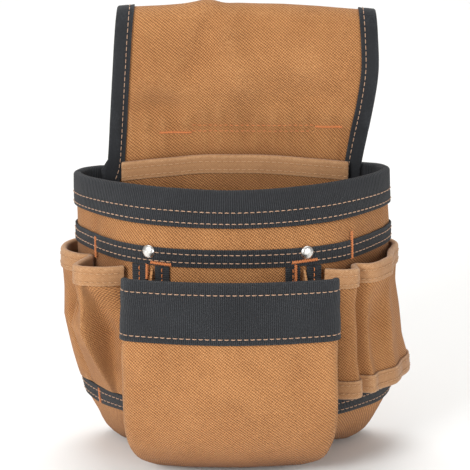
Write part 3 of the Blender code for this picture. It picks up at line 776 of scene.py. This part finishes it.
def pocketLine(share, out, count=91, trim=0):
    width, depth, _ = spline(pocket["levels"], share)
    left, right = pocketRoots(share)
    baseY = (left.y + right.y) / 2
    z = pocket["topZ"] - share * pocket["height"]
    face = [(-x, y) for x, y in reversed(pocket["face"])] + pocket["face"][1:]
    half, reach = pocket["halfWidth"] * width, pocket["depth"] * depth
    front = [Vector((pocket["centreX"] + half * x, baseY - reach * y, z)) for x, y in face]
    bends = [Vector((pocket["pinch"] * depth * math.sin(math.pi * k / 3), 0, 0)) for k in range(3)]
    leftSide = [left.lerp(front[0], k / 3) + bend for k, bend in enumerate(bends)]
    rightSide = [right.lerp(front[-1], k / 3) - bend for k, bend in enumerate(bends)]
    for k in (1, 2):  # gussets hang lower than the mouth of the pocket
        dip = pocket["dip"] * (1.0 - ease(share / 0.3)) * math.sin(math.pi * (k + 0.4) / 3.4)
        leftSide[k].z -= dip
        rightSide[k].z -= dip
    line = leftSide + front + rightSide[::-1]
    if trim:
        line = line[trim:-trim]
    line = resample(line, count)
    outs = [out + pocketWrinkle(p.x, p.z) for p in line]
    moved = offsetLine([Vector((p.x, p.y)) for p in line], outs)
    return [Vector((m.x, m.y, p.z)) for m, p in zip(moved, line)]


pocketRows = [pocketLine(share, 0.0) for share in evenSteps(0.0, 1.0, pocket["rows"] + 1)]
lastRow = pocketRows[-1]
seamZ = lastRow[0].z
seamColumns = evenSteps(alongAt(lastRow[0].x, seamZ), alongAt(lastRow[-1].x, seamZ), len(lastRow))
seam = bagLine(seamColumns, seamZ, pocket["rootGap"])
for k in range(1, 8):
    dip = Vector((0, 0, -pocket["footDip"] * math.sin(math.pi * k / 7)))
    row = [a.lerp(b, k / 7) + dip for a, b in zip(lastRow, seam)]
    row[0], row[-1] = lastRow[0].copy(), lastRow[-1].copy()
    pocketRows.append(row)
adopt(sheet("front_pocket_canvas", pocketRows, cloth["canvas"], canvas), "tan_canvas", "front_pocket")


def pocketWebbingLine(drop, out, count=77):
    line = pocketLine(max(drop, 0.0) / pocket["height"], out, count, 2)
    rise = max(-drop, 0.0)
    rounded = []
    for i, p in enumerate(line):
        fromEnd = min(i, count - 1 - i) / (count - 1)
        corner = pocket["corner"] * (1 - ease(fromEnd / 0.05)) * (1 - ease(drop / 0.014))
        rounded.append(p + Vector((0, 0, rise - corner)))
    return rounded


outerDrops = evenSteps(0.0, pocket["webbing"], 22)
profile = foldProfile(cloth["canvas"], cloth["webbing"], outerDrops, pocket["stitches"])
innerEnd = next(k for k, (drop, _) in enumerate(profile) if drop <= pocket["inside"])
rows = [pocketWebbingLine(drop, out) for drop, out in profile[innerEnd:]]
adopt(sheet("front_pocket_webbing", rows, cloth["webbing"], webbing),
      "black_webbing", "front_pocket_binding")
print("front pocket made")

# Lower bands run from behind the front pocket round to the rear corners
lowRoots = pocketRoots(0.75)
roomForSeam = 3 * cloth["gap"] + cloth["canvas"] + cloth["webbing"]
lowLeft = alongAt(lowRoots[0].x - roomForSeam, band["lowerZ"])
lowRight = alongAt(lowRoots[1].x + roomForSeam, band["lowerZ"])
lowBands = {"left": evenSteps(-1.0, lowLeft, 50), "right": evenSteps(lowRight, 1.0, 50)}
for name, cols in lowBands.items():
    rows = bandRows(cols, band["lowerZ"])
    piece = sheet("band_webbing_lower_" + name, rows, cloth["webbing"], webbing)
    adopt(piece, "black_webbing", "band_lower_" + name)

seamTapes = {
    "left_outer": -0.0672, "left_inner": -0.0508, "right_inner": 0.0430, "right_outer": 0.0583,
}
seamTape = {
    "width": 0.0105, "groove": 0.0004, "topZ": band["upperZ"] - band["width"] - cloth["gap"],
    "lowZ": band["lowerZ"] + cloth["gap"],
}


def seamTapeRow(x, z, out, count=9):
    cols = [alongAt(x + seamTape["width"] * s, z) for s in evenSteps(-0.5, 0.5, count)]
    line = bagLine(cols, z, out)
    inward = (line[0] - line[1]).cross(Vector((0, 0, 1))).normalized()
    return [p + inward * (seamTape["groove"] * hump(k / (count - 1), 0.5, 0.13))
            for k, p in enumerate(line)]


for name, x in seamTapes.items():
    zs = evenSteps(seamTape["topZ"], seamTape["lowZ"], 29)
    rows = [seamTapeRow(x, z, webbingFace) for z in zs]
    piece = sheet("seam_tape_" + name, rows, cloth["webbing"], webbing, turn=math.pi / 2)
    adopt(piece, "black_webbing", "tape_" + name)
print("bands and tapes made")

# Flat pocket inside the mouth, on the back panel
inner = {
    "topZ": -0.0655, "height": 0.080, "halfWidth": 0.0860, "centreX": 0.0014, "swell": 0.0085,
    "tape": 0.0125, "sag": 0.008, "stitches": (0.0030, 0.0095), "wrinkle": 0.0008, "wave": 0.0012,
}


def innerLine(drop, out, count=45):
    share = clamp(drop / inner["height"])
    lying = clamp((drop - inner["tape"]) / inner["tape"])
    room = mix(2 * cloth["gap"] + cloth["tape"], cloth["gap"], lying)
    plan, outs = [], []
    for s in evenSteps(-1.0, 1.0, count):
        x = inner["halfWidth"] * s
        swell = inner["swell"] * (1.0 - s**2) * (1.0 - share) ** 0.8
        plan.append(Vector((x, panelBow(x) - tunnelFace(0.0) - room - cloth["canvas"] - swell)))
        outs.append(out + inner["wrinkle"] * (1 - s**2) * softNoise(x, 5.0, drop, 0.03))
    line = []
    for p in offsetLine(plan, outs):
        sag = inner["sag"] * (p.x / inner["halfWidth"]) ** 2
        sag += inner["wave"] * softNoise(p.x, 8.0, 0.0, 0.035)
        line.append(Vector((p.x + inner["centreX"], p.y, inner["topZ"] - sag - drop)))
    return line


rows = [innerLine(inner["height"] * k / 30, 0.0) for k in range(31)]
adopt(sheet("inner_pocket_canvas", rows, cloth["canvas"], canvas), "tan_canvas", "inner_pocket")
innerDrops = evenSteps(0.0, inner["tape"], 9)
profile = foldProfile(cloth["canvas"], cloth["tape"], innerDrops, inner["stitches"])
rows = [innerLine(drop, out) for drop, out in profile]
adopt(sheet("inner_pocket_tape", rows, cloth["tape"], tanTape), "tan_tape", "inner_pocket_binding")
print("inner pocket made")

# Tool bays and sleeves on the sides of the bag
bays = {
    "topZ": -0.1325, "fold": 0.0125, "foldShare": 0.14, "stitches": (0.0030, 0.0096), "wrinkle": 0.0011,
    # share along the bag, swell at the mouth, half way and at the foot
    "left": [
        (0.435, 0.00, 0.00, 0.00),
        (0.455, 0.22, 0.00, 0.00),
        (0.480, 0.42, 0.01, 0.00),
        (0.508, 0.58, 0.02, 0.00),
        (0.524, 0.65, 0.16, 0.02),
        (0.540, 0.72, 0.78, 0.06),
        (0.575, 0.71, 0.64, 0.06),
        (0.610, 0.40, 0.58, 0.04),
        (0.650, 0.03, 0.56, 0.03),
        (0.680, 0.17, 0.50, 0.02),
        (0.698, 0.22, 0.34, 0.00),
        (0.716, 0.26, 0.02, 0.00),
        (0.740, 0.30, 0.10, 0.03),
        (0.770, 0.32, 0.30, 0.06),
        (0.805, 0.28, 0.34, 0.06),
        (0.850, 0.16, 0.20, 0.04),
        (0.885, 0.06, 0.07, 0.02),
        (0.915, 0.00, 0.00, 0.00),
    ],
    "right": [
        (0.358, 0.00, 0.00, 0.00),
        (0.380, 0.20, 0.18, 0.22),
        (0.405, 0.44, 0.40, 0.44),
        (0.432, 0.58, 0.56, 0.60),
        (0.460, 0.56, 0.58, 0.60),
        (0.492, 0.14, 0.12, 0.14),
        (0.530, 0.52, 0.52, 0.56),
        (0.572, 0.64, 0.22, 0.48),
        (0.620, 0.62, 0.34, 0.58),
        (0.668, 0.58, 0.68, 0.66),
        (0.710, 0.38, 0.52, 0.60),
        (0.755, 0.18, 0.34, 0.48),
        (0.800, 0.12, 0.30, 0.50),
        (0.845, 0.10, 0.26, 0.44),
        (0.885, 0.04, 0.12, 0.20),
        (0.915, 0.00, 0.00, 0.00),
    ],
    "leftSwell": 0.032, "rightSwell": 0.019, "leftHeight": 0.1021, "rightHeight": 0.0975,
}


def bayLine(side, share, z, out, count=81):
    table = bays["left" if side < 0 else "right"]
    swellSize = bays["leftSwell" if side < 0 else "rightSwell"]
    room = 3 * cloth["gap"] + cloth["tape"]
    nearMouth = clamp((bays["foldShare"] * 2 - share) / bays["foldShare"])
    nearFoot = clamp((share - 1.0 + bays["foldShare"] * 2) / bays["foldShare"]) if side > 0 else 0.0
    base = cloth["canvas"] + mix(cloth["gap"], room, max(nearMouth, nearFoot))
    plan, outs = [], []
    for s in evenSteps(table[0][0], table[-1][0], count):
        mouth, half, low = spline(table, s)
        falling = clamp((share - bays["foldShare"]) / (0.5 - bays["foldShare"]))
        swell = mix(mouth, half, falling) if share < 0.5 else mix(half, low, share * 2 - 1)
        here = bagPlan(side * s, z)
        ahead = bagPlan(side * s + 0.004, z) - bagPlan(side * s - 0.004, z)
        normal = Vector((ahead.y, -ahead.x)).normalized()
        plan.append(here + normal * (base + max(swell, 0.0) * swellSize))
        free = ease((share - 0.16) / 0.15) * clamp(swell * 4)
        outs.append(out + bays["wrinkle"] * free * softNoise(here.x, here.y + 7, z * 0.6, 0.024))
    if side < 0:
        plan.reverse()
        outs.reverse()
    return [Vector((p.x, p.y, z)) for p in offsetLine(plan, outs)]


def bayLevel(side, drop, out):
    height = bays["leftHeight" if side < 0 else "rightHeight"]
    return bayLine(side, clamp(drop / height), bays["topZ"] - drop, out)


bayDrops = evenSteps(0.0, bays["fold"], 9)
bayProfile = foldProfile(cloth["canvas"], cloth["tape"], bayDrops, bays["stitches"])
for side, name, short in (
    (-1.0, "left_tool_pocket", "left_pocket"), (1.0, "right_tool_sleeve", "right_sleeve"),
):
    height = bays["leftHeight" if side < 0 else "rightHeight"]
    rows = [bayLevel(side, height * k / 34, 0.0) for k in range(35)]
    adopt(sheet(short + "_canvas", rows, cloth["canvas"], canvas), "tan_canvas", name)
    rows = [bayLevel(side, drop, out) for drop, out in bayProfile]
    adopt(sheet(short + "_top_tape", rows, cloth["tape"], tanTape), "tan_tape", name + "_top_binding")
    if side > 0:
        rows = [bayLevel(side, height - drop, out) for drop, out in reversed(bayProfile)]
        adopt(sheet(short + "_foot_tape", rows, cloth["tape"], tanTape),
              "tan_tape", name + "_bottom_binding")
print("side pockets made")

# Rivet caps
rivet = {
    "radius": 0.005, "height": 0.0024, "z": -0.1180, "left": -0.0603, "right": 0.0530, "sides": 40,
    "dark": (0.60, 0.58, 0.55, 1), "bright": (0.82, 0.80, 0.77, 1),
}


def nickelMaterial():
    material, tree, shader = newMaterial("nickel")
    place = tree.nodes.new("ShaderNodeTexCoord").outputs["Object"]
    smear = noiseField(tree, place, 420.0, 4.0)
    color = blendColor(tree, spread(tree, smear, 0.35, 0.7), rivet["dark"], rivet["bright"])
    put(tree, color, shader.inputs["Base Color"])
    node = tree.nodes.new("ShaderNodeMapRange")
    put(tree, smear, node.inputs["Value"])
    node.inputs["To Min"].default_value = 0.26
    node.inputs["To Max"].default_value = 0.38
    tree.links.new(node.outputs[0], shader.inputs["Roughness"])
    addBump(tree, shader, smear, 0.12, 0.0002)
    shader.inputs["Metallic"].default_value = 1.0
    return material


nickel = nickelMaterial()
rivetOutline = [
    (0.0, 1.0), (0.25, 0.985), (0.48, 0.93), (0.68, 0.82), (0.82, 0.66), (0.92, 0.47), (0.97, 0.30),
    (1.0, 0.18), (0.99, 0.06), (0.95, 0.0), (0.60, -0.15), (0.0, -0.15),
]
for name in ("left", "right"):
    along = alongAt(rivet[name], rivet["z"])
    seat = bagLine([along - 0.02, along, along + 0.02], rivet["z"], webbingFace)
    across = (seat[2] - seat[0]).normalized()
    outward = across.cross(Vector((0, 0, 1)))
    bm = bmesh.new()
    ring = []
    for share, high in rivetOutline:
        middle = seat[1] + outward * rivet["height"] * high
        angles = [2 * k * math.pi / rivet["sides"] for k in range(rivet["sides"])]
        rays = [across * math.cos(a) + Vector((0, 0, math.sin(a))) for a in angles]
        ring.append([middle + rivet["radius"] * share * ray for ray in rays])
    verts = [[bm.verts.new(p) for p in points] for points in ring]
    for a, b in zip(verts, verts[1:]):
        for k in range(rivet["sides"]):
            after = (k + 1) % rivet["sides"]
            bm.faces.new((a[k], a[after], b[after], b[k]))
    bmesh.ops.remove_doubles(bm, verts=bm.verts, dist=0.00001)
    bmesh.ops.recalc_face_normals(bm, faces=bm.faces)
    adopt(finishMesh("rivet_cap_" + name, bm, nickel), "nickel", "rivet_" + name)
print("rivets made")

# Stitches: short threads that arch over the cloth and dive into their holes
stitch = {
    "pitch": 0.0046, "dash": 0.0033, "radius": 0.00036, "rise": 0.0003, "sink": 0.0004, "sides": 6,
    "vary": 0.00018, "tapeRadius": 0.00034, "edgeRadius": 0.0003, "seamPitch": 0.0042,
    "seamDash": 0.0030, "tackWidth": 0.0026, "tackStep": 0.00062, "tackRise": 0.0005,
}
tunnel = {
    "rows": (-0.0437, -0.0484), "span": (-0.032, 0.064), "radius": 0.00042, "tackWidth": 0.0022,
    # start, end and height of the bar tacks
    "tacks": ((-0.0575, -0.0310, -0.0495), (0.0590, 0.0850, -0.0450)),
}


def lineWithNormals(makeLine, lift):
    # A line's points a little above its cloth, each with the direction out of the cloth
    low, high = makeLine(lift), makeLine(lift + 0.001)
    return [(a, (b - a).normalized()) for a, b in zip(low, high)]


def pointAlong(path, lengths, at):
    k = 0
    while k < len(lengths) - 2 and lengths[k + 1] < at:
        k += 1
    t = clamp((at - lengths[k]) / max(lengths[k + 1] - lengths[k], 1e-9))
    return path[k][0].lerp(path[k + 1][0], t), path[k][1].lerp(path[k + 1][1], t).normalized()


def addThread(bm, start, end, normal, radius, rise):
    along = end - start
    side = along.cross(normal).normalized()
    rings = []
    for k in range(6):
        t = k / 5
        height = mix(-stitch["sink"], rise, math.sin(math.pi * t) ** 0.5)
        centre = start + along * t + normal * height
        thick = radius * (0.72 if k in (0, 5) else 1.0)
        ring = []
        for j in range(stitch["sides"]):
            a = 2 * math.pi * j / stitch["sides"]
            spot = centre + side * thick * math.cos(a) + normal * thick * math.sin(a)
            ring.append(bm.verts.new(spot))
        rings.append(ring)
    for a, b in zip(rings, rings[1:]):
        for j in range(len(a)):
            k = (j + 1) % len(a)
            bm.faces.new((a[j], b[j], b[k], a[k]))
    bm.faces.new(rings[0])
    bm.faces.new(rings[-1][::-1])


def sew(bm, path, pitch=stitch["pitch"], dash=stitch["dash"], radius=stitch["radius"]):
    lengths = pathLengths([p for p, _ in path])
    count = int((lengths[-1] - dash) / pitch) + 1
    for k in range(count):
        vary = stitch["vary"] * softNoise(k * 0.7, 0.0, lengths[-1] * 30, 1.0)
        at = k * pitch + vary
        first, n1 = pointAlong(path, lengths, at)
        last, n2 = pointAlong(path, lengths, at + dash)
        tilt = (last - first).cross(n1).normalized() * (vary * 0.6)
        addThread(bm, first + tilt, last - tilt, (n1 + n2).normalized(), radius, stitch["rise"])


def tack(bm, path, width=stitch["tackWidth"], radius=stitch["radius"]):
    # Dense zigzag of thread that holds the end of a seam
    lengths = pathLengths([p for p, _ in path])
    step = stitch["tackStep"]
    count = int(lengths[-1] / step)
    for k in range(count):
        here, normal = pointAlong(path, lengths, k * step)
        ahead, _ = pointAlong(path, lengths, (k + 1.4) * step)
        side = (ahead - here).cross(normal).normalized() * width / 2
        a, b = (here - side, ahead + side) if k % 2 else (here + side, ahead - side)
        addThread(bm, a, b, normal, radius, stitch["tackRise"])


pale, tan, orange = bmesh.new(), bmesh.new(), bmesh.new()
for drop in rim["stitches"]:
    sew(pale, lineWithNormals(lambda out: bagLine(rimColumns, bag["mouthZ"] - drop, out),
                              webbingFace + rim["slack"]))
for drop in band["stitches"]:
    sew(pale, lineWithNormals(lambda out: bagLine(columns, band["upperZ"] - drop, out), webbingFace))
    for cols in lowBands.values():
        sew(pale, lineWithNormals(lambda out: bagLine(cols, band["lowerZ"] - drop, out), webbingFace))
for drop in pocket["stitches"]:
    sew(pale, lineWithNormals(lambda out: pocketWebbingLine(drop, out), webbingFace))
for drop in inner["stitches"]:
    sew(tan, lineWithNormals(lambda out: innerLine(drop, out), tapeFace), radius=stitch["tapeRadius"])
for side in (-1.0, 1.0):
    for drop in bays["stitches"]:
        for at in [drop] if side < 0 else [drop, bays["rightHeight"] - drop]:
            sew(tan, lineWithNormals(lambda out: bayLevel(side, at, out), tapeFace),
                radius=stitch["tapeRadius"])
    sew(pale, lineWithNormals(lambda out: panelColumn(side, edgeStitch, 0.0, out), tapeFace),
        radius=stitch["edgeRadius"])

beforeFront = panel["tailRows"] + panel["climbRows"] + panel["foldRows"]
panelFront = list(zip(*panelRows[beforeFront:]))  # columns of points below the fold


def panelPath(z, x0, x1):
    # A level line on the panel's front, between its rows of points
    points = []
    for column in panelFront:
        k = next(k for k in range(len(column) - 1) if column[k + 1].z < z)
        a, b = column[k], column[k + 1]
        p = a.lerp(b, (a.z - z) / (a.z - b.z))
        if x0 <= p.x <= x1:
            points.append((p, Vector((1, 0, 0)).cross(a - b).normalized()))
    return points


for z in tunnel["rows"]:
    path = panelPath(z, *tunnel["span"])
    sew(orange, path, stitch["seamPitch"], stitch["seamDash"], tunnel["radius"])


def onWebbing(x, z):
    along = alongAt(x, z)
    a, b = (bagPoint(along, z, webbingFace + lift) for lift in (0.0, 0.001))
    return a, (b - a).normalized()


for x in seamTapes.values():
    zs = evenSteps(seamTape["topZ"] - 0.0015, band["lowerZ"], 40)
    sew(orange, [onWebbing(x, z) for z in zs], stitch["seamPitch"], stitch["seamDash"])

# Bar tacks of the upper band, under the rivets and on the lower band: x and z of both ends
for x0, z0, x1, z1 in (
    (-0.1008, -0.1165, -0.1004, -0.1320), (0.0858, -0.1090, 0.0860, -0.1280),
    (-0.0590, -0.1255, -0.0440, -0.1262), (0.0420, -0.1245, 0.0610, -0.1235),
    (-0.0615, -0.1270, -0.0618, -0.1385), (0.0450, -0.1260, 0.0452, -0.1390),
    (-0.1000, -0.2360, -0.0990, -0.2475),
):
    tack(orange, [onWebbing(mix(x0, x1, t), mix(z0, z1, t)) for t in evenSteps(0.0, 1.0, 9)])
for x0, x1, z in tunnel["tacks"]:
    tack(orange, panelPath(z, x0, x1), tunnel["tackWidth"], tunnel["radius"])

for name, bm, material, slot in (
    ("stitches_pale", pale, paleThread, "tan_tape"),
    ("stitches_tan", tan, tanThread, "tan_tape"),
    ("stitches_orange", orange, orangeThread, "tan_tape"),
):
    adopt(finishMesh(name, bm, material), slot)
print("stitches made")

# Camera at the photo's angle, pale floor and soft light
view = {"lens": 153.2, "distance": 1.5, "elevation": 15.0, "target": (0.0015, -0.040, -0.120)}
target = Vector(view["target"])
angle = math.radians(view["elevation"])
cameraData = bpy.data.cameras.new("camera")
cameraData.lens = view["lens"]
cameraData.sensor_width = 36.0
camera = newObject("camera", cameraData)
camera.location = target + view["distance"] * Vector((0, -math.cos(angle), math.sin(angle)))
camera.rotation_euler = (target - camera.location).to_track_quat("-Z", "Y").to_euler()
scene.camera = camera

floorMaterial, _, floorShader = newMaterial("paleFloor")
floorShader.inputs["Base Color"].default_value = (0.92, 0.92, 0.91, 1)
floorShader.inputs["Roughness"].default_value = 0.9
bm = bmesh.new()
bendY, radius = 1.2, 0.8
arc = evenSteps(0.15, math.pi / 2, 12)
bend = [(-3.0, 0.0), (bendY, 0.0)]
bend += [(bendY + radius * math.sin(a), radius - radius * math.cos(a)) for a in arc]
bend += [(bendY + radius, 3.0)]
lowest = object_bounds()[0][2]
edges = [[bm.verts.new((x, y, lowest + z)) for x in (-4.0, 4.0)] for y, z in bend]
for a, b in zip(edges, edges[1:]):
    bm.faces.new((a[0], a[1], b[1], b[0]))
floorMesh = bpy.data.meshes.new("floor")
bm.to_mesh(floorMesh)
bm.free()
floorMesh.materials.append(floorMaterial)
floorMesh.shade_smooth()
floor = newObject("floor", floorMesh)

lights = {
    # name: (place, power, size)
    "key": ((-0.75, -1.15, 0.40), 13.5, 0.5),
    "fill": ((0.75, -1.3, 0.05), 6.8, 0.6),
    "top": ((-0.1, -0.2, 1.6), 3.6, 1.0),
    "backdrop": ((0.0, 1.0, 1.6), 24.0, 1.6),
}
for name, (place, power, size) in lights.items():
    data = bpy.data.lights.new(name, "AREA")
    data.energy = power
    data.size = size
    lamp = newObject(name, data)
    lamp.location = place
    lamp.rotation_euler = (target - Vector(place)).to_track_quat("-Z", "Y").to_euler()
world = bpy.data.worlds.new("studio")
world.use_nodes = True
world.node_tree.nodes["Background"].inputs["Color"].default_value = (1.0, 0.99, 0.98, 1)
world.node_tree.nodes["Background"].inputs["Strength"].default_value = 0.45
scene.world = world
scene.view_settings.view_transform = "Standard"
print("stage made")
